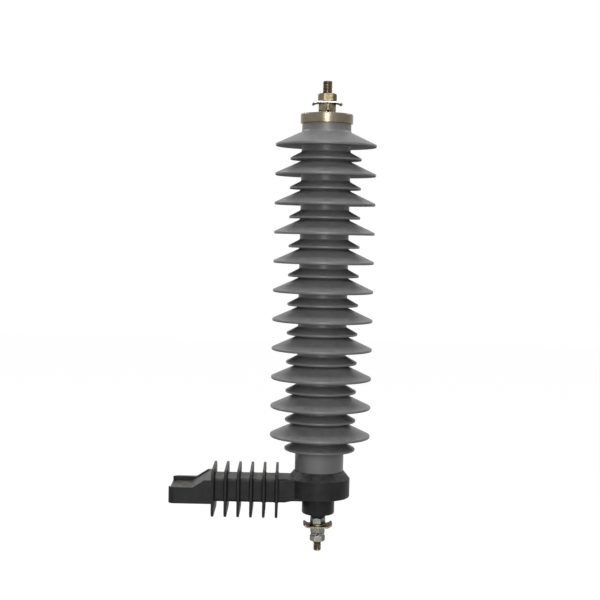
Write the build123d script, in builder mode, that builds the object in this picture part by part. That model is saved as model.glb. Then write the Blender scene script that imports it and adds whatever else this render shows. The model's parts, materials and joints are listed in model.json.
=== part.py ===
from build123d import *
import os
from math import radians, sqrt, tan

# A distribution surge arrester for a 33 kV overhead line: a stack of metal oxide blocks wound in
# glass fibre, in one silicone rubber moulding with alternating sheds. It stands on an insulating
# bracket, with a ground-lead disconnector screwed on below. Millimetres, +Z up along the arrester.
# The origin is the centre of the bracket's mounting bolt hole, on the underside of the bracket.

# ---------------------------------------------------------------- driving dimensions
# Fits
slip_fit = 0.2  # clearance each side of a piece that is slid over or into another
thread_gap = 0.1  # clearance each side between a stud and the thread it is screwed into
engaged_thread = 0.95  # a stud's share of its diameter where a nut or a tapped hole holds it

# Bolts, nuts and washers alike
stud_chamfer = 0.1  # share of the diameter
nut_face = 0.95  # share of the width across flats that stays flat on a nut's face
lock_washer_gap = 1.8  # the cut in a split washer
saddle_thickness = 1.6
saddle_corner = 2.5
saddle_curl = 0.75  # run for each unit of rise at a wing's tip

# Bracket: bar and weather fins
bar_width = 40.0
bar_height = 24.3
bar_edge = 3.0
first_fin_gap = 31.1  # mounting bolt to the first fin
fin_count = 6
fin_pitch = 13.1
last_fin_gap = 43.4  # the last fin to the arrester's axis
fin_width = 64.5
fin_height = 49.0
fin_drop = 14.6  # how far a fin reaches below the bar
fin_corner = 8.0
fin_thickness = 2.8
fin_rim = 0.9  # rounding of a fin's rim
fin_root = 1.6  # rounding where a fin meets the bar

# Bracket: mounting end
end_width = 64.0
end_margin = 14.0  # bolt hole to the tip of the bracket
end_corner = 6.5
rim_height = 16.7  # height of the channel's side walls
rim_wall = 5.5
seat_height = 12.2  # the channel's floor, which the bolted strap lies on
ramp_angle = 33.0  # from the channel's floor and side walls up to the bar
ramp_land = 6.1  # the head of the floor's ramp to the first fin
ramp_lead = 2.4  # the side walls start down this much before the floor does
bolt_hole = 13.5  # for an M12 bolt, from below
bolt_hole_depth = 10.0

# Bracket: ring under the arrester
ring_radius = 32.3
ring_bottom = 4.4
shoulder_height = 23.6
land_radius = 26.0
land_height = 31.2  # the flat that the arrester stands on
ring_edge = 1.2
ring_wall = 4.5
hub_wall = 3.6
core_depth = 16.0  # depth of the pockets under the ring
rib_count = 8
rib_thickness = 3.0
heel_rise = 2.0  # the bar's underside steps up by this under the ring
heel_length = 36.0  # arrester axis to the foot of that step
heel_run = 8.0  # the length that the step slopes over
socket_depth = 9.6  # how far the disconnector enters the ring
stud_hole = 12.0

# Housing
shed_pairs = 11
shed_pitch = 30.0
rubber_wall = 4.85  # between the winding and the sheds
large_shed_diameter = 104.0
small_shed_diameter = 73.5
large_slope = 25.0
small_slope = 28.0
underside_slope = 4.0
shed_rim = 2.8
small_rim = 2.4
rim_rounding = 0.45  # share of a rim's thickness
shed_spacing = 14.0  # a large shed's rim to the small one's below it
lowest_small_shed = 22.8  # its rim above the land
top_neck = 27.1  # the highest large shed's rim to the top of the rubber

# Wound stack
block_count = 9
block_diameter = 34.0
block_edge = 1.0
winding_wall = 3.0
electrode_height = 24.0
electrode_flange = 5.0
pressure_plate = 4.0
spring_height = 4.6
spring_leaf = 1.4
spring_hole_diameter = 17.0
thread_depth = 17.0

# Top cap
cap_wall = 1.6
cap_top = 3.6
cap_skirt = 4.7  # how far the skirt hangs over the rubber
cap_edge = 1.4
seal_height = 1.6

# Line terminal, M10
line_stud_diameter = 10.0
line_stud_rise = 33.6  # above the cap
line_nut_flats = 17.0
line_nut_height = 8.4
line_lock_height = 2.6
line_lock_diameter = 18.0
line_saddle_span = 31.5
line_saddle_depth = 20.0
line_saddle_sag = 2.6
seat_nut_turn = 4.0  # degrees, the flats' direction
clamp_nut_turn = 36.0

# Disconnector
disconnector_diameter = 34.0
disconnector_drop = 14.0  # its underside below the bracket's
disconnector_wall = 3.4
disconnector_edge = 2.2
disconnector_floor = 4.6
neck_top_diameter = 16.4
neck_tip_diameter = 15.4
neck_length = 4.2
insert_height = 6.0
resistor_diameter = 24.0
resistor_wall = 5.5
cartridge_diameter = 7.0
cartridge_rim = 0.9
cartridge_height = 10.0
contact_spring_diameter = 11.0

# Earth terminal, M8
earth_stud_diameter = 8.0
earth_stud_length = 34.8  # below the disconnector's neck
earth_head_height = 3.6
earth_nut_flats = 14.0
earth_nut_height = 6.5
earth_washer_diameter = 17.0
earth_washer_height = 1.6
earth_saddle_span = 30.7
earth_saddle_depth = 22.0
earth_saddle_sag = 3.2
earth_lock_diameter = 14.2
earth_lock_height = 2.1
earth_nut_turns = (20.0, 8.0, 34.0)  # lock nut, clamp nut, end nut

# ---------------------------------------------------------------- sizes that follow
base_stud_diameter = line_stud_diameter
last_fin = first_fin_gap + (fin_count - 1) * fin_pitch
reach = last_fin + last_fin_gap  # mounting bolt to arrester axis
rubber_height = lowest_small_shed + shed_spacing + (shed_pairs - 1) * shed_pitch + top_neck
rubber_top = land_height + rubber_height
cap_ceiling = rubber_top + seal_height
cap_height = cap_skirt + seal_height + cap_top
cap_roof = cap_ceiling + cap_top
winding_radius = block_diameter / 2 + slip_fit + winding_wall
bore_radius = winding_radius + slip_fit
core_radius = bore_radius + rubber_wall
socket_top = ring_bottom + socket_depth

axis = Axis((reach, 0, 0), (0, 0, 1))
# A half section through the arrester: local X is the radius, local Y the height.
section = Plane(origin=(reach, 0, 0), x_dir=(1, 0, 0), z_dir=(0, -1, 0))


def level(height):
    """The horizontal plane at a height, centred on the arrester's axis."""
    return Plane(origin=(reach, 0, height))


def turned(*outline):
    """A piece turned from its half section, given as (radius, height) corners."""
    with BuildPart() as piece:
        with BuildSketch(section):
            Polygon(*outline, align=None)
        revolve(axis=axis)
    return piece


def turned_ring(outer_radius, hole_radius, bottom, height):
    """A plain turned ring on the arrester's axis."""
    top = bottom + height
    return turned((hole_radius, bottom), (outer_radius, bottom), (outer_radius, top), (hole_radius, top))


def hex_nut(across_flats, thread_diameter, bottom, height, turn):
    """A hexagon nut, its corners taken off at 30 degrees on both faces."""
    face_radius = nut_face * across_flats / 2
    corner_radius = across_flats / sqrt(3) + slip_fit
    bevel = (corner_radius - face_radius) * tan(radians(30))
    top = bottom + height
    with BuildPart() as nut:
        with BuildSketch(level(bottom)):
            RegularPolygon(across_flats / 2, 6, major_radius=False, rotation=turn)
            Circle(engaged_thread * thread_diameter / 2 + thread_gap, mode=Mode.SUBTRACT)
        extrude(amount=height)
        with BuildSketch(section):
            Polygon(
                (0, bottom),
                (face_radius, bottom),
                (corner_radius, bottom + bevel),
                (corner_radius, top - bevel),
                (face_radius, top),
                (0, top),
                align=None,
            )
        revolve(axis=axis, mode=Mode.INTERSECT)
    return nut


def split_washer(outer_diameter, thread_diameter, bottom, height):
    """A spring lock washer: a square-edged ring cut through on the slant."""
    hole_radius = thread_diameter / 2 + slip_fit
    width = outer_diameter / 2 - hole_radius
    with BuildPart() as washer:
        with BuildSketch(level(bottom)):
            Circle(outer_diameter / 2)
            Circle(hole_radius, mode=Mode.SUBTRACT)
        extrude(amount=height)
        lean = height / 2
        cut_plane = Plane(origin=(reach, -hole_radius - width / 2, 0), x_dir=(1, 0, 0), z_dir=(0, -1, 0))
        with BuildSketch(cut_plane):
            Polygon(
                (-lean - lock_washer_gap / 2, bottom),
                (-lean + lock_washer_gap / 2, bottom),
                (lean + lock_washer_gap / 2, bottom + height),
                (lean - lock_washer_gap / 2, bottom + height),
                align=None,
            )
        extrude(amount=width, both=True, mode=Mode.SUBTRACT)
    return washer


def saddle_washer(span, depth, sag, flat, thread_diameter, bottom):
    """A pressed saddle: flat under the nut, with both wings curved away by sag, down or (minus) up."""
    middle = bottom + saddle_thickness / 2
    wing_tip = (span - saddle_thickness) / 2
    with BuildPart() as saddle:
        with BuildSketch(section):
            with BuildLine():
                with BuildLine(mode=Mode.PRIVATE) as right:
                    Line((0, middle), (flat / 2, middle))
                    Spline(
                        (flat / 2, middle),
                        (wing_tip, middle - sag),
                        tangents=[(1, 0), (saddle_curl, -1 if sag > 0 else 1)],
                    )
                add(right)
                add(mirror(right.line, Plane.YZ))
            trace(line_width=saddle_thickness)
        extrude(amount=depth / 2, both=True)
        wing_corners = saddle.edges().filter_by(Axis.Y, reverse=True).filter_by(lambda edge: edge.length < 2)
        fillet(wing_corners, saddle_corner)
        with Locations(level(bottom)):
            Hole(thread_diameter / 2 + slip_fit)
    return saddle


# ---------------------------------------------------------------- bracket
# One glass-filled moulding: ring, bar, weather fins and the channelled mounting end.
with BuildPart() as bracket:
    with BuildSketch(section) as ring_section:
        Polygon(
            (0, ring_bottom),
            (ring_radius, ring_bottom),
            (ring_radius, shoulder_height),
            (land_radius, land_height),
            (0, land_height),
            align=None,
        )
        rounded = ring_section.vertices().sort_by(Axis.X)[-3:]
        fillet(rounded, ring_edge)
    revolve(axis=axis)

    # Pockets under the ring, between its wall, its hub and the ribs, so that the moulding cools evenly.
    pocket_inside = disconnector_diameter / 2 + slip_fit + hub_wall
    pocket_outside = ring_radius - ring_wall
    pocket_middle = (pocket_inside + pocket_outside) / 2
    with BuildSketch(level(ring_bottom)):
        Circle(pocket_outside)
        Circle(pocket_inside, mode=Mode.SUBTRACT)
        with PolarLocations(pocket_middle, rib_count):
            Rectangle(2 * (pocket_outside - pocket_inside), rib_thickness, mode=Mode.SUBTRACT)
    extrude(amount=core_depth, mode=Mode.SUBTRACT)

    # The bar runs on under the ring to the hub, where its underside steps up.
    with BuildSketch(Plane.YZ.offset(first_fin_gap)):
        with Locations((0, bar_height / 2)):
            RectangleRounded(bar_width, bar_height, bar_edge)
    extrude(amount=reach - first_fin_gap)
    with BuildSketch(Plane.XZ):
        Polygon(
            (reach - heel_length, 0),
            (reach - heel_length + heel_run, heel_rise),
            (reach, heel_rise),
            (reach, 0),
            align=None,
        )
    extrude(amount=bar_width, both=True, mode=Mode.SUBTRACT)

    # Weather fins, which lengthen the path that rain and dirt make along the bar.
    fin_planes = [Plane.YZ.offset(first_fin_gap + number * fin_pitch) for number in range(fin_count)]
    with BuildSketch(*fin_planes):
        with Locations((0, fin_height / 2 - fin_drop)):
            RectangleRounded(fin_width, fin_height, fin_corner)
    extrude(amount=fin_thickness / 2, both=True)
    across_bar = bracket.edges().filter_by(lambda edge: edge.bounding_box().size.X < 0.001)
    on_fins = across_bar.filter_by_position(Axis.X, first_fin_gap - fin_thickness, last_fin + fin_thickness)
    rims = on_fins.filter_by(lambda edge: abs(edge.center().Y) > bar_width / 2 + 1
                             or not -1 < edge.center().Z < bar_height + 1)
    roots = on_fins.filter_by(lambda edge: abs(edge.center().Y) < bar_width / 2 + 1
                              and -1 < edge.center().Z < bar_height + 1)
    fillet(rims, fin_rim)
    fillet(roots.filter_by_position(Axis.X, first_fin_gap, reach), fin_root)

    # Mounting end: a block ramped down from the bar, with an open channel for the bolted strap.
    ramp_length = (bar_height - rim_height) / tan(radians(ramp_angle))
    floor_rise = (bar_height - seat_height) / tan(radians(ramp_angle))
    floor_foot = first_fin_gap - ramp_land - floor_rise
    ramp_top = first_fin_gap - ramp_land - ramp_lead
    with BuildPart(mode=Mode.PRIVATE) as mounting_end:
        with BuildSketch(Plane.XZ):
            Polygon(
                (-end_margin, 0),
                (first_fin_gap, 0),
                (first_fin_gap, bar_height),
                (ramp_top, bar_height),
                (ramp_top - ramp_length, rim_height),
                (-end_margin, rim_height),
                align=None,
            )
        extrude(amount=end_width / 2, both=True)
        fillet(mounting_end.edges().filter_by(Axis.Z).group_by(Axis.X)[0], end_corner)
    add(mounting_end)
    with BuildSketch(Plane.XZ):
        Polygon(
            (-end_margin, seat_height),
            (floor_foot, seat_height),
            (floor_foot + floor_rise, bar_height),
            (-end_margin, bar_height),
            align=None,
        )
    extrude(amount=end_width / 2 - rim_wall, both=True, mode=Mode.SUBTRACT)
    with BuildSketch(Plane.XY):
        Circle(bolt_hole / 2)
    extrude(amount=bolt_hole_depth, mode=Mode.SUBTRACT)

    # Socket for the disconnector and the way through for the stud.
    with BuildSketch(level(0)):
        Circle(disconnector_diameter / 2 + slip_fit)
    extrude(amount=socket_top, mode=Mode.SUBTRACT)
    with Locations(level(land_height)):
        Hole(stud_hole / 2)

# ---------------------------------------------------------------- housing
# Silicone rubber, moulded in one shot around the wound stack.
with BuildPart() as housing:
    with BuildSketch(section) as rubber:
        Polygon(
            (bore_radius, land_height),
            (core_radius, land_height),
            (core_radius, rubber_top),
            (bore_radius, rubber_top),
            align=None,
        )
        for pair in range(shed_pairs):
            small_tip = land_height + lowest_small_shed + pair * shed_pitch
            for tip, diameter, slope, rim in (
                (small_tip, small_shed_diameter, small_slope, small_rim),
                (small_tip + shed_spacing, large_shed_diameter, large_slope, shed_rim),
            ):
                overhang = diameter / 2 - core_radius
                Polygon(
                    (bore_radius, tip),
                    (core_radius, tip - rim / 2 + overhang * tan(radians(underside_slope))),
                    (diameter / 2, tip - rim / 2),
                    (diameter / 2, tip + rim / 2),
                    (core_radius, tip + rim / 2 + overhang * tan(radians(slope))),
                    align=None,
                )
        by_radius = rubber.vertices().group_by(Axis.X)
        fillet(by_radius[-1], rim_rounding * shed_rim)
        small_radius = small_shed_diameter / 2
        small_tips = rubber.vertices().filter_by_position(Axis.X, small_radius - 0.1, small_radius + 0.1)
        fillet(small_tips, rim_rounding * small_rim)
    revolve(axis=axis)

# ---------------------------------------------------------------- wound stack
# Bottom to top: electrode, metal oxide blocks, pressure plate, disc springs, electrode. The glass
# fibre winding holds them together between the two electrodes' flanges.
stack_radius = block_diameter / 2
base_stud_radius = engaged_thread * base_stud_diameter / 2
stud_thread = base_stud_radius + thread_gap
blocks_bottom = land_height + electrode_height
blocks_top = cap_ceiling - electrode_height - spring_height - pressure_plate
block_height = (blocks_top - blocks_bottom) / block_count

bottom_electrode = turned(
    (stud_thread, land_height),
    (winding_radius, land_height),
    (winding_radius, land_height + electrode_flange),
    (stack_radius, land_height + electrode_flange),
    (stack_radius, blocks_bottom),
    (0, blocks_bottom),
    (0, land_height + thread_depth),
    (stud_thread, land_height + thread_depth),
)
top_electrode = turned(
    (stud_thread, cap_ceiling),
    (winding_radius, cap_ceiling),
    (winding_radius, cap_ceiling - electrode_flange),
    (stack_radius, cap_ceiling - electrode_flange),
    (stack_radius, cap_ceiling - electrode_height),
    (0, cap_ceiling - electrode_height),
    (0, cap_ceiling - thread_depth),
    (stud_thread, cap_ceiling - thread_depth),
)

blocks = []
for number in range(block_count):
    foot = blocks_bottom + number * block_height
    blocks.append(turned(
        (0, foot),
        (stack_radius - block_edge, foot),
        (stack_radius, foot + block_edge),
        (stack_radius, foot + block_height - block_edge),
        (stack_radius - block_edge, foot + block_height),
        (0, foot + block_height),
    ))

with BuildPart() as plate:
    with BuildSketch(level(blocks_top)):
        Circle(stack_radius)
    extrude(amount=pressure_plate)

# Two dished washers, rim to rim.
spring_bottom = blocks_top + pressure_plate
spring_top = spring_bottom + spring_height
spring_middle = spring_bottom + spring_height / 2
spring_hole = spring_hole_diameter / 2
with BuildPart() as disc_springs:
    with BuildSketch(section):
        Polygon(
            (spring_hole, spring_bottom),
            (stack_radius, spring_middle - spring_leaf),
            (stack_radius, spring_middle),
            (spring_hole, spring_bottom + spring_leaf),
            align=None,
        )
        Polygon(
            (spring_hole, spring_top),
            (stack_radius, spring_middle + spring_leaf),
            (stack_radius, spring_middle),
            (spring_hole, spring_top - spring_leaf),
            align=None,
        )
    revolve(axis=axis)

winding = turned_ring(
    winding_radius,
    stack_radius + slip_fit,
    land_height + electrode_flange,
    cap_ceiling - land_height - 2 * electrode_flange,
)

# ---------------------------------------------------------------- top cap and its seal
seal = turned_ring(core_radius, bore_radius, rubber_top, seal_height)
cap_inside = core_radius + slip_fit
cap_outside = cap_inside + cap_wall
with BuildPart() as cap:
    with BuildSketch(section) as cap_section:
        Polygon(
            (line_stud_diameter / 2 + slip_fit, cap_ceiling),
            (cap_inside, cap_ceiling),
            (cap_inside, cap_roof - cap_height),
            (cap_outside, cap_roof - cap_height),
            (cap_outside, cap_roof),
            (line_stud_diameter / 2 + slip_fit, cap_roof),
            align=None,
        )
        fillet(cap_section.vertices().group_by(Axis.Y)[-1].sort_by(Axis.X)[-1], cap_edge)
    revolve(axis=axis)

# ---------------------------------------------------------------- line terminal
seat_nut_bottom = cap_roof + line_lock_height
line_saddle_bottom = seat_nut_bottom + line_nut_height
line_clamp_bottom = line_saddle_bottom + saddle_thickness
line_chamfer = stud_chamfer * line_stud_diameter
line_stud_top = cap_roof + line_stud_rise
line_stud = turned(
    (0, cap_ceiling - thread_depth),
    (base_stud_radius, cap_ceiling - thread_depth),
    (base_stud_radius, line_clamp_bottom + line_nut_height),
    (line_stud_diameter / 2, line_clamp_bottom + line_nut_height),
    (line_stud_diameter / 2, line_stud_top - line_chamfer),
    (line_stud_diameter / 2 - line_chamfer, line_stud_top),
    (0, line_stud_top),
)
line_lock_washer = split_washer(line_lock_diameter, line_stud_diameter, cap_roof, line_lock_height)
line_seat_nut = hex_nut(line_nut_flats, line_stud_diameter, seat_nut_bottom, line_nut_height, seat_nut_turn)
line_saddle = saddle_washer(
    line_saddle_span, line_saddle_depth, line_saddle_sag, line_nut_flats, line_stud_diameter, line_saddle_bottom
)
line_clamp_nut = hex_nut(line_nut_flats, line_stud_diameter, line_clamp_bottom, line_nut_height, clamp_nut_turn)

# ---------------------------------------------------------------- disconnector
# A moulded cup. A steel insert closes its top and screws on to the arrester's stud. Inside, a
# grading resistor bridges the insert and the earth stud's head, around a small cartridge that
# bursts the cup when the arrester fails.
cup_radius = disconnector_diameter / 2
cup_inside = cup_radius - disconnector_wall
cup_bottom = -disconnector_drop
cup_floor = cup_bottom + disconnector_floor
neck_tip = cup_bottom - neck_length
earth_hole = earth_stud_diameter / 2 + slip_fit
with BuildPart() as disconnector:
    with BuildSketch(section) as cup_section:
        Polygon(
            (earth_hole, neck_tip),
            (neck_tip_diameter / 2, neck_tip),
            (neck_top_diameter / 2, cup_bottom),
            (cup_radius, cup_bottom),
            (cup_radius, socket_top),
            (cup_inside, socket_top),
            (cup_inside, cup_floor),
            (earth_hole, cup_floor),
            align=None,
        )
        outer_corners = cup_section.vertices().group_by(Axis.X)[-1]
        fillet(outer_corners.sort_by(Axis.Y)[0], disconnector_edge)
    revolve(axis=axis)

insert_bottom = socket_top - insert_height
stud_insert = turned_ring(cup_inside - slip_fit, stud_thread, insert_bottom, insert_height)
base_stud = turned(
    (0, insert_bottom),
    (base_stud_radius, insert_bottom),
    (base_stud_radius, land_height + thread_depth),
    (0, land_height + thread_depth),
)
resistor_bottom = cup_floor + earth_head_height
resistor_height = insert_bottom - resistor_bottom
resistor = turned_ring(
    resistor_diameter / 2, resistor_diameter / 2 - resistor_wall, resistor_bottom, resistor_height
)

lock_nut_bottom = neck_tip - earth_nut_height
earth_washer_bottom = lock_nut_bottom - earth_washer_height
earth_saddle_bottom = earth_washer_bottom - saddle_thickness
earth_clamp_bottom = earth_saddle_bottom - earth_nut_height
earth_lock_bottom = earth_clamp_bottom - earth_lock_height
earth_end_bottom = earth_lock_bottom - earth_nut_height
earth_tip = neck_tip - earth_stud_length
earth_chamfer = stud_chamfer * earth_stud_diameter
earth_stud = turned(
    (0, earth_tip),
    (earth_stud_diameter / 2 - earth_chamfer, earth_tip),
    (earth_stud_diameter / 2, earth_tip + earth_chamfer),
    (earth_stud_diameter / 2, earth_end_bottom),
    (engaged_thread * earth_stud_diameter / 2, earth_end_bottom),
    (engaged_thread * earth_stud_diameter / 2, cup_floor),
    (cup_inside - slip_fit, cup_floor),
    (cup_inside - slip_fit, resistor_bottom),
    (0, resistor_bottom),
)
cartridge = turned(
    (0, resistor_bottom),
    (cartridge_diameter / 2 + cartridge_rim, resistor_bottom),
    (cartridge_diameter / 2 + cartridge_rim, resistor_bottom + cartridge_rim),
    (cartridge_diameter / 2, resistor_bottom + cartridge_rim),
    (cartridge_diameter / 2, resistor_bottom + cartridge_height),
    (0, resistor_bottom + cartridge_height),
)
contact_bottom = resistor_bottom + cartridge_height
contact_height = resistor_height - cartridge_height
contact_leaf = contact_height / 3
contact_spring = turned(
    (0, contact_bottom),
    (cartridge_diameter / 4, contact_bottom),
    (contact_spring_diameter / 2, insert_bottom - contact_leaf),
    (contact_spring_diameter / 2, insert_bottom),
    (cartridge_diameter / 4, contact_bottom + contact_leaf),
    (0, contact_bottom + contact_leaf),
)

# ---------------------------------------------------------------- earth terminal
lock_turn, clamp_turn, end_turn = earth_nut_turns
earth_lock_nut = hex_nut(earth_nut_flats, earth_stud_diameter, lock_nut_bottom, earth_nut_height, lock_turn)
earth_washer = turned_ring(
    earth_washer_diameter / 2, earth_stud_diameter / 2 + slip_fit, earth_washer_bottom, earth_washer_height
)
earth_saddle = saddle_washer(
    earth_saddle_span, earth_saddle_depth, -earth_saddle_sag, earth_washer_diameter, earth_stud_diameter,
    earth_saddle_bottom,
)
earth_clamp_nut = hex_nut(earth_nut_flats, earth_stud_diameter, earth_clamp_bottom, earth_nut_height, clamp_turn)
earth_lock_washer = split_washer(earth_lock_diameter, earth_stud_diameter, earth_lock_bottom, earth_lock_height)
earth_end_nut = hex_nut(earth_nut_flats, earth_stud_diameter, earth_end_bottom, earth_nut_height, end_turn)

# ---------------------------------------------------------------- write the pieces
pieces = {
    "bracket": bracket,
    "housing": housing,
    "glass_fibre_winding": winding,
    "bottom_electrode": bottom_electrode,
    "top_electrode": top_electrode,
    "pressure_plate": plate,
    "disc_springs": disc_springs,
    "cap_seal": seal,
    "top_cap": cap,
    "line_stud": line_stud,
    "line_lock_washer": line_lock_washer,
    "line_seat_nut": line_seat_nut,
    "line_saddle_washer": line_saddle,
    "line_clamp_nut": line_clamp_nut,
    "base_stud": base_stud,
    "disconnector_body": disconnector,
    "disconnector_insert": stud_insert,
    "grading_resistor": resistor,
    "cartridge": cartridge,
    "contact_spring": contact_spring,
    "earth_stud": earth_stud,
    "earth_lock_nut": earth_lock_nut,
    "earth_washer": earth_washer,
    "earth_saddle_washer": earth_saddle,
    "earth_clamp_nut": earth_clamp_nut,
    "earth_lock_washer": earth_lock_washer,
    "earth_end_nut": earth_end_nut,
}
for number, block in enumerate(blocks, start=1):
    pieces[f"varistor_block_{number}"] = block

os.makedirs("parts", exist_ok=True)
for name, piece in pieces.items():
    piece.part.label = name
    export_step(piece.part, f"parts/{name}.step")
print(len(pieces), "pieces, overall height", round(line_stud_top - earth_tip, 1), "mm")
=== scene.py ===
# %% [markdown]
# # A distribution surge arrester
# A surge arrester is joined between a 33 kV line and earth. It is a stack of metal oxide blocks inside
# a silicone rubber housing, whose sheds keep rain from wetting it all the way down. It stands on a
# black moulded arm with fins of its own, and below it sits the disconnector, which throws the earth
# lead off if the arrester fails. The construction is already made, so this lesson gives each
# piece its finish. It starts by loading that model, because every size and place comes from it.

# %% Load the model
import json
from math import atan, cos, pi, radians, sin, tan

import bpy
import bmesh
import numpy as np
from mathutils import Matrix, Vector


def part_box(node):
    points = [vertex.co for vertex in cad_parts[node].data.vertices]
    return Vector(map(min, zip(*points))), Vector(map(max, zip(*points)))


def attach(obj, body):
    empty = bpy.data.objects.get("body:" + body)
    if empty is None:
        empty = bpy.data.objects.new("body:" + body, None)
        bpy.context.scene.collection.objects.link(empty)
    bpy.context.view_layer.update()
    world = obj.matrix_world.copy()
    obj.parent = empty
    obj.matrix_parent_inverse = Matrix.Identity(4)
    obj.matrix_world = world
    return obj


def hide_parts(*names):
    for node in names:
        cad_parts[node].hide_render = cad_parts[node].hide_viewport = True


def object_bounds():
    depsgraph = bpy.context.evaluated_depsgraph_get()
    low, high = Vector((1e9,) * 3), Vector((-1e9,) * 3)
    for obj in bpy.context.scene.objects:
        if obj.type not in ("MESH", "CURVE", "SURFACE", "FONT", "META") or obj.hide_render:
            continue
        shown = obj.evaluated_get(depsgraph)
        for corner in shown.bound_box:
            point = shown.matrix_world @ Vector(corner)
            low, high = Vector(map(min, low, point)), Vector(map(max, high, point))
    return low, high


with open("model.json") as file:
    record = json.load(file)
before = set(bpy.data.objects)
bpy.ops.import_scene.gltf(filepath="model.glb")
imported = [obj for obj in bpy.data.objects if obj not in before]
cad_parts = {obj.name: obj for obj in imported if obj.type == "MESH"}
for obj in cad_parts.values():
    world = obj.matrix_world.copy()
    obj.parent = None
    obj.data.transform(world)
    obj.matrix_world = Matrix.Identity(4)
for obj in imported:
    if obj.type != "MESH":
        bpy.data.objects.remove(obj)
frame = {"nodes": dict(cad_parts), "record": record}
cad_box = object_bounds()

MM = 0.001
slip_fit = 0.2 * MM
nodes = frame["nodes"]
print(len(nodes), "pieces in the model")

# %% [markdown]
# ## Where the pieces are
# Each turned piece is centred on one upright axis. Its place is read from the housing's box, and
# the heights come from the boxes of the pieces themselves.

# %% The arrester's axis and the pieces' heights
housing_low, housing_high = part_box("housing")
axis_x = (housing_low.x + housing_high.x) / 2
axis_y = (housing_low.y + housing_high.y) / 2


def span(node):
    """The lowest and highest point of a piece."""
    low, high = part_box(node)
    return low.z, high.z


def width(node):
    """How wide a turned piece is, which is its diameter."""
    low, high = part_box(node)
    return high.x - low.x


housing_height = (housing_high.z - housing_low.z) / MM
print("axis at", round(axis_x / MM, 2), "mm, housing", round(housing_height, 1), "mm tall")

# %% [markdown]
# ## The camera
# A long lens from a little over a metre away keeps the sheds nearly level with each other. The eye
# is a little above the middle, so the upper sheds show their undersides and the lower ones
# their tops. The camera is rolled by a degree or so, and the arrester leans that much in the picture.

# %% Camera
camera_distance = 1.333
eye_height = 0.2821
camera_swing = radians(1.4)
aim_left = 0.0177
aim_down = 0.0552
lean = radians(1.27)
sensor_width = 36
lens_share = 2.148  # the lens over the sensor's width

camera = bpy.data.objects.new("camera", bpy.data.cameras.new("camera"))
bpy.context.scene.collection.objects.link(camera)
bpy.context.scene.camera = camera
camera.data.sensor_width = sensor_width
camera.data.lens = sensor_width * lens_share
camera.data.clip_start = 0.05
camera.data.clip_end = 30
heading = -camera_swing + atan(aim_left)
pitch = pi / 2 - atan(aim_down)
camera.matrix_world = (
    Matrix.Translation((
        axis_x - camera_distance * sin(camera_swing),
        axis_y - camera_distance * cos(camera_swing),
        eye_height,
    ))
    @ Matrix.Rotation(heading, 4, "Z")
    @ Matrix.Rotation(pitch, 4, "X")
    @ Matrix.Rotation(lean, 4, "Z")
)

# %% [markdown]
# ## Surfaces from formulas
# Nearly all of the arrester was turned or moulded round one axis. Such a piece is an outline carried
# round a circle, so one function makes the mesh over a grid of points, and the rest only work
# out where the points go. Rounded corners come from a formula too: an arc that touches both
# sides of the corner.

# %% A mesh over a grid of points
same_point = 2e-6  # metres: points closer than this are one


def skin(name, points, wrap_rows=True, crease=32):
    """Joins a grid of points into four-sided faces. The columns close on themselves, and so do the rows
    where wrap_rows says so. Points that fall together are merged, which closes poles, and faces
    meeting above the crease angle stay sharp."""
    rows, columns = points.shape[:2]
    index = np.arange(rows * columns).reshape(rows, columns)
    if wrap_rows:
        index = np.vstack([index, index[:1]])
    index = np.hstack([index, index[:, :1]])
    quads = np.stack([index[:-1, :-1], index[:-1, 1:], index[1:, 1:], index[1:, :-1]], axis=-1)
    mesh = bpy.data.meshes.new(name)
    mesh.from_pydata(points.reshape(-1, 3), [], quads.reshape(-1, 4))
    work = bmesh.new()
    work.from_mesh(mesh)
    bmesh.ops.remove_doubles(work, verts=work.verts, dist=same_point)
    bmesh.ops.holes_fill(work, edges=work.edges, sides=0)
    bmesh.ops.recalc_face_normals(work, faces=work.faces)
    work.to_mesh(mesh)
    work.free()
    return finished(name, mesh, crease)


def finished(name, mesh, crease):
    """Puts a mesh into the scene, smooth except along edges sharper than the crease angle."""
    mesh.shade_smooth()
    mesh.set_sharp_from_angle(angle=radians(crease))
    piece = bpy.data.objects.new(name, mesh)
    bpy.context.scene.collection.objects.link(piece)
    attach(piece, "root")
    return piece


# %% [markdown]
# ## Rounded corners
# A moulded or turned edge is never quite sharp, and that is what makes it catch the light. An arc is
# worked out for every corner of an outline at once, and the outline is then turned.

# %% Rounded outlines and turned pieces
def rounded(corners, steps=5):
    """Turns each (radius, height, rounding) corner into an arc that touches both of its sides. The arc
    starts rounding * tan(turn / 2) before the corner, and sweeps through the corner's turn."""
    table = np.asarray(corners, float)
    corner, rounding = table[:, :2], table[:, 2:]
    before = corner - np.roll(corner, 1, axis=0)
    after = np.roll(corner, -1, axis=0) - corner
    before /= np.linalg.norm(before, axis=1, keepdims=True)
    after /= np.linalg.norm(after, axis=1, keepdims=True)
    cross = before[:, 0] * after[:, 1] - before[:, 1] * after[:, 0]
    turn = np.arctan2(cross, (before * after).sum(axis=1))[:, None]
    start = corner - before * rounding * np.tan(abs(turn) / 2)
    inward = np.sign(turn) * np.stack([-before[:, 1], before[:, 0]], axis=1)
    centre = start + inward * rounding
    swept = (turn * np.linspace(0, 1, steps))[:, :, None]
    spoke = (-inward * rounding)[:, None, :]
    crossways = np.stack([-spoke[..., 1], spoke[..., 0]], axis=-1)
    arcs = centre[:, None, :] + spoke * np.cos(swept) + crossways * np.sin(swept)
    return arcs.reshape(-1, 2)


def turned(name, outline, segments=144, crease=32):
    """Carries a closed outline of (radius, height) round the arrester's axis."""
    angle = np.linspace(0, 2 * pi, segments, endpoint=False)[None, :]
    radius = outline[:, :1]
    height = outline[:, 1:] + 0 * angle
    points = np.stack([axis_x + radius * np.cos(angle), axis_y + radius * np.sin(angle), height], axis=-1)
    return skin(name, points, crease=crease)


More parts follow.
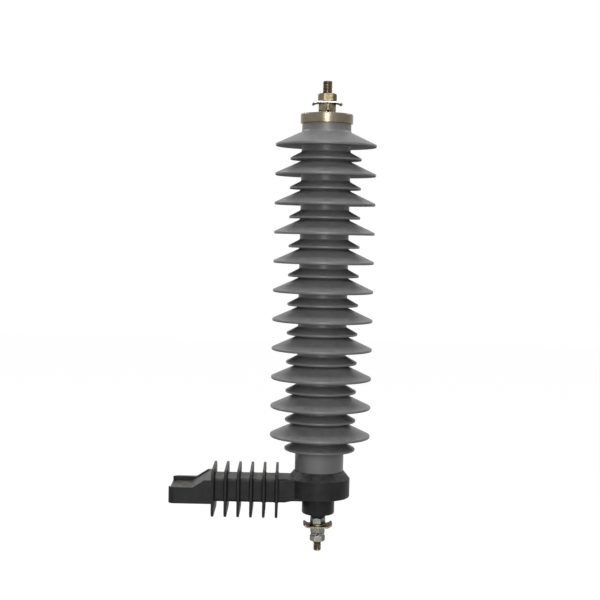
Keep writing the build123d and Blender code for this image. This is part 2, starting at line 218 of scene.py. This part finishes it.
# %% [markdown]
# ## Effects that several finishes share
# Real surfaces vary: rubber is a little blotchy, plating is duller where it was handled, and a
# turned face keeps the tool's fine rings. Each of these effects is a node group, made once. A group
# gives out only a mask or a height, and each material decides what to do with it.

# %% Node helpers
def new_group(name, inputs, outputs):
    """An empty shader group with float inputs (name, default) and named float outputs."""
    group = bpy.data.node_groups.new(name, "ShaderNodeTree")
    for socket, value in inputs:
        made = group.interface.new_socket(socket, in_out="INPUT", socket_type="NodeSocketFloat")
        made.default_value = value
    for socket in outputs:
        group.interface.new_socket(socket, in_out="OUTPUT", socket_type="NodeSocketFloat")
    return group, group.nodes.new("NodeGroupInput").outputs, group.nodes.new("NodeGroupOutput").inputs


def node(tree, kind, links=(), **settings):
    """One node, its settings and its linked inputs, given as (input, source socket or value) pairs."""
    made = tree.nodes.new(kind)
    for key, value in settings.items():
        setattr(made, key, value)
    for socket, source in links:
        if isinstance(source, bpy.types.NodeSocket):
            tree.links.new(source, made.inputs[socket])
        else:
            made.inputs[socket].default_value = source
    return made


def maths(tree, operation, *values):
    """The result of one Math node."""
    return node(tree, "ShaderNodeMath", list(enumerate(values)), operation=operation).outputs[0]


def stretched(tree, value, low, high, out_low=0.0, out_high=1.0):
    """Maps low..high to out_low..out_high, and holds what lies outside."""
    pairs = [("Value", value), ("From Min", low), ("From Max", high)]
    pairs += [("To Min", out_low), ("To Max", out_high)]
    return node(tree, "ShaderNodeMapRange", pairs).outputs["Result"]


def noise(tree, place, scale, detail=3.0, roughness=0.55):
    """A noise value at a place, with features about 1 / scale metres across."""
    pairs = [("Vector", place), ("Scale", scale), ("Detail", detail), ("Roughness", roughness)]
    return node(tree, "ShaderNodeTexNoise", pairs).outputs["Fac"]


def normal_height(tree):
    """How far the surface faces up: 1 for a top, 0 for a wall and -1 for an underside."""
    normal = node(tree, "ShaderNodeNewGeometry").outputs["Normal"]
    return node(tree, "ShaderNodeSeparateXYZ", [(0, normal)]).outputs["Z"]


def object_place(tree):
    """The point's place in metres in the arrester's own frame."""
    return node(tree, "ShaderNodeTexCoord").outputs["Object"]


# %% [markdown]
# ## Blotches and grain
# Rubber and plating both vary in two ways at once: slow blotches, and a grain that only dulls the
# surface. One group gives both, so each material picks its own scales.

# %% Group: blotches and grain
def build_mottle():
    """Blotches from a few millimetres to centimetres wide, and a grain of about a millimetre."""
    scales = [("Blotch Scale", 60.0), ("Grain Scale", 900.0)]
    group, given, out = new_group("mottle", scales, ["Blotch", "Grain"])
    place = object_place(group)
    blotch = noise(group, place, given["Blotch Scale"])
    grain = noise(group, place, given["Grain Scale"], detail=5.0, roughness=0.65)
    group.links.new(stretched(group, blotch, 0.35, 0.65), out["Blotch"])
    group.links.new(stretched(group, grain, 0.3, 0.7), out["Grain"])
    return group


# %% [markdown]
# ## Dust and a painted sheen
# Dust settles on what faces up, and the same lightening also stands in for the sheen that tops
# catch, as a painted sheen. The surface's own normal says how far it faces up, and a noise breaks
# the edge of the dust.

# %% Group: dust and a painted sheen on what faces up
def build_dust_and_top_sheen():
    """Dust and a painted sheen lie on what faces up, thicker where the noise is high."""
    group, given, out = new_group("dust_and_top_sheen", [("Reach", 0.35), ("Scale", 140.0)], ["Dust"])
    upward = stretched(group, normal_height(group), given["Reach"], 1.0)
    patchy = stretched(group, noise(group, object_place(group), given["Scale"], detail=4.0), 0.3, 0.75)
    group.links.new(maths(group, "MULTIPLY", upward, patchy), out["Dust"])
    return group


# %% [markdown]
# ## Lathe rings
# The cap and the electrodes are turned, and the tool leaves fine rings on walls and faces. The wound
# glass fibre takes the same rings, set further apart, for its turns.

# %% Group: the rings that a lathe leaves
def build_tool_rings():
    """A wave along the height and the radius, so that walls and faces both carry fine rings."""
    group, given, out = new_group("tool_rings", [("Spacing", 0.0006)], ["Height"])
    axis = Vector((axis_x, axis_y, 0))
    centred = node(group, "ShaderNodeVectorMath", [(0, object_place(group)), (1, axis)], operation="SUBTRACT")
    parts = node(group, "ShaderNodeSeparateXYZ", [(0, centred.outputs[0])])
    across = maths(group, "MULTIPLY", parts.outputs["X"], parts.outputs["X"])
    deep = maths(group, "MULTIPLY", parts.outputs["Y"], parts.outputs["Y"])
    radius = maths(group, "SQRT", maths(group, "ADD", across, deep))
    path = maths(group, "ADD", radius, parts.outputs["Z"])
    phase = maths(group, "DIVIDE", path, given["Spacing"])
    group.links.new(maths(group, "SINE", maths(group, "MULTIPLY", phase, 2 * pi)), out["Height"])
    return group


# %% [markdown]
# ## Undersides
# The undersides of the sheds are duller than their tops, so they throw back less of the sky.

# %% Group: what faces down
def build_downward():
    """1 on undersides and 0 on walls and tops, with a soft change between."""
    group, given, out = new_group("downward", [("Start", -0.1)], ["Below"])
    group.links.new(stretched(group, normal_height(group), given["Start"], -0.9), out["Below"])
    return group


mottle = build_mottle()
downward = build_downward()
dust_and_top_sheen = build_dust_and_top_sheen()
tool_rings = build_tool_rings()


# %% [markdown]
# ## The finishes
# Every finish is one Principled shader whose colour and roughness are moved about by the
# groups. What is the same all over a surface, such as how strongly it reflects, is set on the
# shader itself. Polished metal in a white room turns white at a glancing angle. The two zinc
# platings tint that glancing reflection grey, a painted shade standing in for a darker room, and
# the platings' dark, brownish colours are a painted reflection of that darker room too.

# %% A finish from its parts
def group_node(tree, group, **values):
    """Places a shared group with this material's own values."""
    placed = node(tree, "ShaderNodeGroup", node_tree=group)
    for key, value in values.items():
        placed.inputs[key.replace("_", " ")].default_value = value
    return placed.outputs


def blend(tree, mask, first, second):
    """The colour first where the mask is 0 and second where it is 1. Each is a socket or three numbers."""
    mixer = node(tree, "ShaderNodeMix", data_type="RGBA")
    ends = [socket for socket in mixer.inputs if socket.type == "RGBA"]
    for socket, colour in zip(ends, (first, second)):
        if isinstance(colour, bpy.types.NodeSocket):
            tree.links.new(colour, socket)
        else:
            socket.default_value = (*colour, 1)
    tree.links.new(mask, mixer.inputs["Factor"])
    return next(socket for socket in mixer.outputs if socket.type == "RGBA")


# The colour of dust, which also serves as a painted sheen on the tops that catch the light.
dust_and_sheen_colour = (0.42, 0.40, 0.37)


def finish(name, dark, light, rough, metallic=0.0, specular=0.5, bump=0.05, blotch=60.0, grain=900.0,
           rings=0.0, dust_and_sheen=0.0, matt_below=0.0, edge=1.0):
    """A finish: dark and light are the ends of its colour, rough the ends of its roughness, and bump
    the depth of its grain in millimetres. rings is the spacing of its lathe rings in metres, and the
    dust amount says how much it lightens what faces up, partly as dust and partly as a painted sheen.
    matt_below is how much rougher it is where it faces down, and edge tints its reflection at a
    glancing angle, from 1 for all of it down to 0, where below 1 it paints shade onto that reflection."""
    material = bpy.data.materials.new(name)
    material.use_nodes = True
    tree = material.node_tree
    shader = tree.nodes["Principled BSDF"]
    marks = group_node(tree, mottle, Blotch_Scale=blotch, Grain_Scale=grain)
    colour = blend(tree, marks["Blotch"], dark, light)
    height = marks["Grain"]
    # Lightens what faces up: partly dust, and partly a painted sheen on the tops.
    if dust_and_sheen:
        dust_and_sheen_amount = maths(tree, "MULTIPLY", group_node(tree, dust_and_top_sheen)["Dust"], dust_and_sheen)
        colour = blend(tree, dust_and_sheen_amount, colour, dust_and_sheen_colour)
    if rings:
        turned_rings = group_node(tree, tool_rings, Spacing=rings)["Height"]
        height = maths(tree, "ADD", height, turned_rings)
    tree.links.new(colour, shader.inputs["Base Color"])
    roughness = stretched(tree, marks["Grain"], 0.0, 1.0, *rough)
    if matt_below:
        below = maths(tree, "MULTIPLY", group_node(tree, downward)["Below"], matt_below)
        roughness = maths(tree, "ADD", roughness, below)
    tree.links.new(roughness, shader.inputs["Roughness"])
    relief = node(tree, "ShaderNodeBump", [("Height", height), ("Distance", bump * MM), ("Strength", 1.0)])
    tree.links.new(relief.outputs["Normal"], shader.inputs["Normal"])
    shader.inputs["Metallic"].default_value = metallic
    shader.inputs["Specular IOR Level"].default_value = specular
    # Below 1 this grey edge tint is painted shade on glancing reflections, in place of a darker room.
    shader.inputs["Specular Tint"].default_value = (edge, edge, edge, 1)
    return material


# %% [markdown]
# ## One finish for each slot
# The model names a finish for each piece, so the finishes are kept by those names. The inner pieces
# get theirs too, although the housing hides them.

# %% The finishes by slot
finishes = {
    # The dust share on the rubber and on the black arm is partly dust and partly a painted sheen on their
    # tops.
    "silicone_rubber": finish("silicone_rubber", (0.100, 0.101, 0.104), (0.120, 0.120, 0.122), (0.34, 0.46),
                              specular=0.34, bump=0.012, blotch=35.0, grain=1400.0, dust_and_sheen=0.10,
                              matt_below=0.4),
    "black_moulding": finish("black_moulding", (0.013, 0.0128, 0.0135), (0.019, 0.0187, 0.0195), (0.38, 0.55),
                             specular=0.10, bump=0.03, blotch=120.0, grain=1100.0, dust_and_sheen=0.24),
    "disconnector_moulding": finish("disconnector_moulding", (0.012, 0.012, 0.0125), (0.017, 0.017, 0.0175),
                                    (0.24, 0.36), specular=0.10, bump=0.01, blotch=150.0, grain=900.0),
    # The platings' dark, brownish colours are a painted reflection of a darker room, and the zinc platings'
    # grey edge tints add painted shade at a glancing angle.
    "nickel_plate": finish("nickel_plate", (0.135, 0.112, 0.075), (0.19, 0.165, 0.12), (0.22, 0.32),
                           metallic=1.0, bump=0.004, rings=0.0007),
    "yellow_passivated_zinc": finish("yellow_passivated_zinc", (0.12, 0.098, 0.058), (0.24, 0.205, 0.135),
                                     (0.24, 0.38), metallic=1.0, bump=0.006, blotch=260.0, edge=0.35),
    "zinc_plate": finish("zinc_plate", (0.15, 0.15, 0.138), (0.25, 0.25, 0.235), (0.28, 0.44), metallic=1.0,
                         bump=0.008, blotch=240.0, edge=0.25),
    "steel": finish("steel", (0.40, 0.40, 0.41), (0.52, 0.52, 0.53), (0.26, 0.40), metallic=1.0, rings=0.0008,
                    bump=0.004),
    "aluminium": finish("aluminium", (0.62, 0.62, 0.64), (0.76, 0.76, 0.78), (0.24, 0.36), metallic=1.0,
                        rings=0.0009, bump=0.005),
    "metal_oxide": finish("metal_oxide", (0.075, 0.080, 0.085), (0.12, 0.125, 0.13), (0.60, 0.80), bump=0.02),
    "glass_fibre": finish("glass_fibre", (0.42, 0.39, 0.24), (0.58, 0.54, 0.38), (0.16, 0.30), rings=0.0016,
                          bump=0.05),
    "seal_rubber": finish("seal_rubber", (0.018, 0.018, 0.018), (0.030, 0.030, 0.030), (0.55, 0.75)),
    "resistor_compound": finish("resistor_compound", (0.030, 0.030, 0.032), (0.055, 0.055, 0.056),
                                (0.60, 0.80)),
}
slot_of = {entry["node"]: entry["material_slot"] for entry in frame["record"]["subparts"]}
for name, piece in nodes.items():
    piece.data.materials.clear()
    piece.data.materials.append(finishes[slot_of[name]])
print(len(finishes), "finishes")


def coat(piece, slot):
    """Gives a new piece one of the finishes."""
    piece.data.materials.clear()
    piece.data.materials.append(finishes[slot])


def dress(piece, stands_for):
    """The new piece takes the finish of the piece it stands for, which is hidden."""
    coat(piece, slot_of[stands_for])
    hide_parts(stands_for)
    print(piece.name, len(piece.data.polygons), "faces")


# %% [markdown]
# ## The housing
# The rubber is injected round the stack in a steel mould, so each shed has a thin rounded rim, a
# small radius where it runs into the core, and no sharp edge anywhere. The outline goes up the
# outside, one pair of sheds after another, and back down the bore. Every corner carries its
# own rounding, and the whole outline is then turned.

# %% Housing
shed_pairs = 11
shed_pitch = 30.0 * MM
shed_spacing = 14.0 * MM
first_small_shed = 22.8 * MM
underside = tan(radians(4.0))
rubber_wall = 4.85 * MM
rim_rounding = 0.42  # share of a rim's thickness
under_root = 1.0 * MM
bore_radius = width("top_electrode") / 2 + slip_fit
core_radius = bore_radius + rubber_wall
large_shed = {"radius": width("housing") / 2, "rim": 2.8 * MM, "slope": tan(radians(25.0)), "root": 3.0 * MM}
small_shed = {"radius": 36.75 * MM, "rim": 2.4 * MM, "slope": tan(radians(28.0)), "root": 1.6 * MM}


def shed_corners(shed, tip):
    """Four corners of a shed from its underside's root to its top's root, with their roundings."""
    overhang = shed["radius"] - core_radius
    low, high = tip - shed["rim"] / 2, tip + shed["rim"] / 2
    return [
        (core_radius, low + overhang * underside, under_root),
        (shed["radius"], low, rim_rounding * shed["rim"]),
        (shed["radius"], high, rim_rounding * shed["rim"]),
        (core_radius, high + overhang * shed["slope"], shed["root"]),
    ]


def housing_outline():
    """The closed outline of the rubber: up over the sheds, in across the top and down the bore."""
    bottom, top = span("housing")
    corners = [(bore_radius, bottom, 0), (core_radius, bottom, under_root)]
    for pair in range(shed_pairs):
        tip = bottom + first_small_shed + pair * shed_pitch
        corners += shed_corners(small_shed, tip) + shed_corners(large_shed, tip + shed_spacing)
    corners += [(core_radius, top, 0), (bore_radius, top, 0)]
    return rounded(corners)


dress(turned("housing_rubber", housing_outline(), segments=160, crease=50), "housing")

# %% [markdown]
# ## The cap
# The cap is a shallow turned cup, plated bright. It sits over the rubber, and a soft edge where
# its top meets its side catches the light.

# %% Cap
cap_bottom, cap_roof = span("top_cap")
cap_radius = width("top_cap") / 2
cap_ceiling = span("cap_seal")[1]
cap_bore = width("cap_seal") / 2 + slip_fit
cap_hole = width("line_stud") / 2 + slip_fit
dress(turned("plated_cap", rounded([
    (cap_hole, cap_ceiling, 0),
    (cap_bore, cap_ceiling, 0.3 * MM),
    (cap_bore, cap_bottom, 0.2 * MM),
    (cap_radius, cap_bottom, 0.4 * MM),
    (cap_radius, cap_roof, 1.4 * MM),
    (cap_hole, cap_roof, 0.3 * MM),
], steps=7), segments=160), "top_cap")

# %% [markdown]
# ## The disconnector
# A small cup of glossy black plastic with a rounded foot and a short tapered neck, out of which
# the earth stud comes.

# %% Disconnector
cup_tip, cup_top = span("disconnector_body")
cup_radius = width("disconnector_body") / 2
cup_wall = 3.4 * MM
cup_foot = cup_tip + 4.2 * MM
cup_floor = cup_foot + 4.6 * MM
earth_radius = 4.0 * MM
cup_hole = earth_radius + slip_fit
neck_tip_radius = 7.7 * MM
neck_top_radius = 8.2 * MM
dress(turned("disconnector_cup", rounded([
    (cup_hole, cup_tip, 0.2 * MM),
    (neck_tip_radius, cup_tip, 0.5 * MM),
    (neck_top_radius, cup_foot, 0.8 * MM),
    (cup_radius, cup_foot, 2.2 * MM),
    (cup_radius, cup_top, 0.4 * MM),
    (cup_radius - cup_wall, cup_top, 0.2 * MM),
    (cup_radius - cup_wall, cup_floor, 0.5 * MM),
    (cup_hole, cup_floor, 0.2 * MM),
], steps=7), segments=128), "disconnector_body")

# %% [markdown]
# ## Threaded studs
# A thread is a groove that climbs one pitch each turn. At a point on the stud, the number of turns
# already climbed is its height over the pitch, less its angle over a full circle. The
# fraction left over says where in the groove the point is, and that gives the radius.

# %% Studs
rows_per_turn = 12
sharp_height = 1.35  # of the whole V over the groove's depth, before both of its ends are cut flat
crest_cut = 0.2  # what the crest loses of that, over the groove's depth
beyond = 10 * MM  # past the end of a stud, where the thread would still run


def threaded(name, radius, pitch, depth, bottom, top, threaded_from, threaded_to, columns=72):
    """A stud whose radius drops by a flat-topped V between threaded_from and threaded_to. The ends are
    bevelled, and close on the axis."""
    steps = int((top - bottom) / pitch * rows_per_turn)
    height = np.concatenate([[bottom], np.linspace(bottom, top, steps), [top]])[:, None]
    angle = np.linspace(0, 2 * pi, columns, endpoint=False)[None, :]
    turns = height / pitch - angle / (2 * pi)
    fraction = turns - np.floor(turns)
    groove = np.clip(sharp_height * (1 - abs(2 * fraction - 1)) - crest_cut, 0, 1)
    fade = np.clip((height - threaded_from) / pitch, 0, 1) * np.clip((threaded_to - height) / pitch, 0, 1)
    wall = radius - depth * groove * fade
    bevel = radius - depth + np.minimum(height - bottom, top - height)
    wall = np.minimum(wall, bevel)
    wall[0] = wall[-1] = 0
    points = np.stack([
        axis_x + wall * np.cos(angle), axis_y + wall * np.sin(angle), height + 0 * angle,
    ], axis=-1)
    return skin(name, points, wrap_rows=False, crease=38)


line_bottom, line_top = span("line_stud")
line_radius = width("line_stud") / 2
line_pitch = 1.5 * MM
line_groove = 0.85 * MM
dress(threaded(
    "line_stud_threaded", line_radius, line_pitch, line_groove,
    line_bottom, line_top, cap_roof, line_top + beyond,
), "line_stud")

earth_tip, earth_head_top = span("earth_stud")
earth_pitch = 1.25 * MM
earth_groove = 0.72 * MM
earth_stud = threaded(
    "earth_stud_threaded", earth_radius, earth_pitch, earth_groove,
    earth_tip, cup_floor, earth_tip - beyond, cup_tip,
)
earth_head = turned("earth_stud_head", rounded([
    (0, cup_floor, 0),
    (width("earth_stud") / 2, cup_floor, 0.3 * MM),
    (width("earth_stud") / 2, earth_head_top, 0.3 * MM),
    (0, earth_head_top, 0),
]), segments=96)
dress(earth_stud, "earth_stud")
coat(earth_head, slot_of["earth_stud"])


# %% [markdown]
# ## Nuts
# A nut is a hexagonal bar with a cone cut off both ends. Going round it, the distance from the axis
# to the flat is the half width over the cosine of the angle from the flat's middle. The
# cone meets the flats along the curved lines that every nut shows, and here they come by
# themselves, because the cone's height follows that same distance.

# %% Nuts
face_share = 0.95  # of the width across flats, which stays flat on a nut's face
countersink = 0.6 * MM
cone_slope = tan(radians(30))
waist = 0.4  # the share of the flats' height where a row of corners goes round
worn_edge = 0.22 * MM


def nut(node_name, flats, bore, turn, columns=144):
    """A nut in the place of a plain one. Its section at each angle is a closed loop of nine corners."""
    bottom, top = span(node_name)
    angle = np.linspace(0, 2 * pi, columns, endpoint=False)
    from_flat = (angle - turn + pi / 6) % (pi / 3) - pi / 6
    wall = flats / 2 / np.cos(from_flat)
    face = face_share * flats / 2
    cone = (wall - face) * cone_slope
    ring = np.ones(columns)
    section = [
        (bore * ring, (bottom + countersink) * ring),
        ((bore + countersink) * ring, bottom * ring),
        (face * ring, bottom * ring),
        (wall, bottom + cone),
        (wall, bottom + cone + waist * (top - bottom - 2 * cone)),
        (wall, top - cone),
        (face * ring, top * ring),
        ((bore + countersink) * ring, top * ring),
        (bore * ring, (top - countersink) * ring),
    ]
    radius = np.array([pair[0] for pair in section])
    height = np.array([pair[1] for pair in section])
    points = np.stack([axis_x + radius * np.cos(angle), axis_y + radius * np.sin(angle), height], axis=-1)
    piece = skin(node_name + "_hex", points, crease=20)
    edge = piece.modifiers.new("worn_edges", "BEVEL")
    edge.width = worn_edge
    edge.segments = 3
    edge.limit_method = "ANGLE"
    edge.angle_limit = radians(24)
    edge.harden_normals = True
    dress(piece, node_name)


line_flats = 17 * MM
earth_flats = 14 * MM
line_thread = line_radius - line_groove
earth_thread = earth_radius - earth_groove
nut("line_seat_nut", line_flats, line_thread, radians(4))
nut("line_clamp_nut", line_flats, line_thread, radians(36))
nut("earth_lock_nut", earth_flats, earth_thread, radians(20))
nut("earth_clamp_nut", earth_flats, earth_thread, radians(8))
nut("earth_end_nut", earth_flats, earth_thread, radians(34))


# %% [markdown]
# ## Copies of the moulded and pressed pieces
# The arm, the saddles and the washers already have their true form. A copy of each is welded,
# because a loaded mesh is loose triangles, and then shaded smooth up to its real edges.

# %% Welded copies
weld_reach = 1e-5  # metres: the corners of a loaded mesh closer than this are welded
eased_edge = 0.2 * MM
thin_edge = 0.15 * MM


def welded(node_name, crease=30, edge=0.0):
    """A copy of a piece, welded and smooth-shaded, with its edges eased by a bevel where one is given."""
    mesh = nodes[node_name].data.copy()
    mesh.name = node_name + "_finished"
    work = bmesh.new()
    work.from_mesh(mesh)
    bmesh.ops.remove_doubles(work, verts=work.verts, dist=weld_reach)
    bmesh.ops.dissolve_limit(work, angle_limit=radians(0.5), verts=work.verts, edges=work.edges)
    work.to_mesh(mesh)
    work.free()
    piece = finished(mesh.name, mesh, crease)
    if edge:
        eased = piece.modifiers.new("eased_edges", "BEVEL")
        eased.width = edge
        eased.segments = 2
        eased.limit_method = "ANGLE"
        eased.angle_limit = radians(40)
    piece.modifiers.new("flat_faces_stay_flat", "WEIGHTED_NORMAL").keep_sharp = True
    dress(piece, node_name)


welded("bracket")
welded("line_saddle_washer", edge=eased_edge)
welded("earth_saddle_washer", edge=eased_edge)
welded("earth_washer", edge=eased_edge)
welded("line_lock_washer", edge=thin_edge)
welded("earth_lock_washer", edge=thin_edge)

# %% [markdown]
# ## Floor
# The bracket holds the arrester up in the air, so the floor is well below it. It looks nearly white to
# the camera and in reflections, but its own paint is dark, so it throws little light up at the sheds.

# %% Floor
floor_drop = 0.30
floor_reach = 6.0
floor_low = cad_box[0].z - floor_drop
floor_signs = [(-1, -1), (1, -1), (1, 1), (-1, 1)]
floor_corners = [(across * floor_reach, away * floor_reach, floor_low) for across, away in floor_signs]
floor_mesh = bpy.data.meshes.new("floor")
floor_mesh.from_pydata(floor_corners, [], [(0, 1, 2, 3)])
floor = bpy.data.objects.new("floor", floor_mesh)
bpy.context.scene.collection.objects.link(floor)


def seen_directly(tree):
    """1 for rays from the camera, a mirror or through glass, and 0 for light that falls on things."""
    rays = node(tree, "ShaderNodeLightPath").outputs
    either = maths(tree, "MAXIMUM", rays["Is Camera Ray"], rays["Is Glossy Ray"])
    return maths(tree, "MAXIMUM", either, rays["Is Transmission Ray"])


floor_grey = 0.16
floor_glow = 0.95
floor_paint = bpy.data.materials.new("pale_floor")
floor_paint.use_nodes = True
floor_tree = floor_paint.node_tree
floor_shader = floor_tree.nodes["Principled BSDF"]
floor_shader.inputs["Base Color"].default_value = (floor_grey, floor_grey, floor_grey, 1)
floor_shader.inputs["Roughness"].default_value = 0.9
floor_shader.inputs["Specular IOR Level"].default_value = 0.0
floor_shader.inputs["Emission Color"].default_value = (1, 1, 1, 1)
floor_seen = maths(floor_tree, "MULTIPLY", seen_directly(floor_tree), floor_glow)
floor_tree.links.new(floor_seen, floor_shader.inputs["Emission Strength"])
floor.data.materials.append(floor_paint)

# %% [markdown]
# ## The world
# A white world lights everything evenly, and by itself it would wash the sheds out. It is dimmed for
# the light that falls on the arrester, and stays white where it is seen.

# %% World
world = bpy.data.worlds.new("studio")
bpy.context.scene.world = world
world.use_nodes = True
sky = world.node_tree
background = sky.nodes["Background"]
ambient_level = 0.24
sky_seen = stretched(sky, seen_directly(sky), 0.0, 1.0, ambient_level, 1.0)
sky.links.new(sky_seen, background.inputs["Strength"])
background.inputs["Color"].default_value = (1, 1, 1, 1)


# %% [markdown]
# ## The lamps
# One tall lamp behind the camera lights the fronts, and one overhead lights the tops of the sheds.
# The two at the sides stand behind the arrester and higher, and light the rims from there.

# %% Lamps
def softbox(name, place, target, size, power):
    """A rectangular lamp aimed at a point."""
    lamp = bpy.data.lights.new(name, "AREA")
    lamp.shape = "RECTANGLE"
    lamp.size, lamp.size_y = size
    lamp.energy = power
    stand = bpy.data.objects.new(name, lamp)
    place, target = Vector(place), Vector(target)
    aim = (target - place).to_track_quat("-Z", "Y").to_matrix().to_4x4()
    stand.matrix_world = Matrix.Translation(place) @ aim
    bpy.context.scene.collection.objects.link(stand)


middle = (axis_x, axis_y, 0.2)  # which every lamp is aimed at
softbox("key", (axis_x - 0.05, -1.9, 0.60), middle, (0.45, 1.5), 34)
softbox("left_edge", (axis_x - 1.2, 0.7, 1.15), middle, (0.3, 0.3), 7)
softbox("right_edge", (axis_x + 1.2, 0.7, 1.15), middle, (0.3, 0.3), 5)
softbox("top", (axis_x, -0.5, 1.7), middle, (0.5, 0.5), 14)

bpy.context.scene.view_settings.view_transform = "Standard"
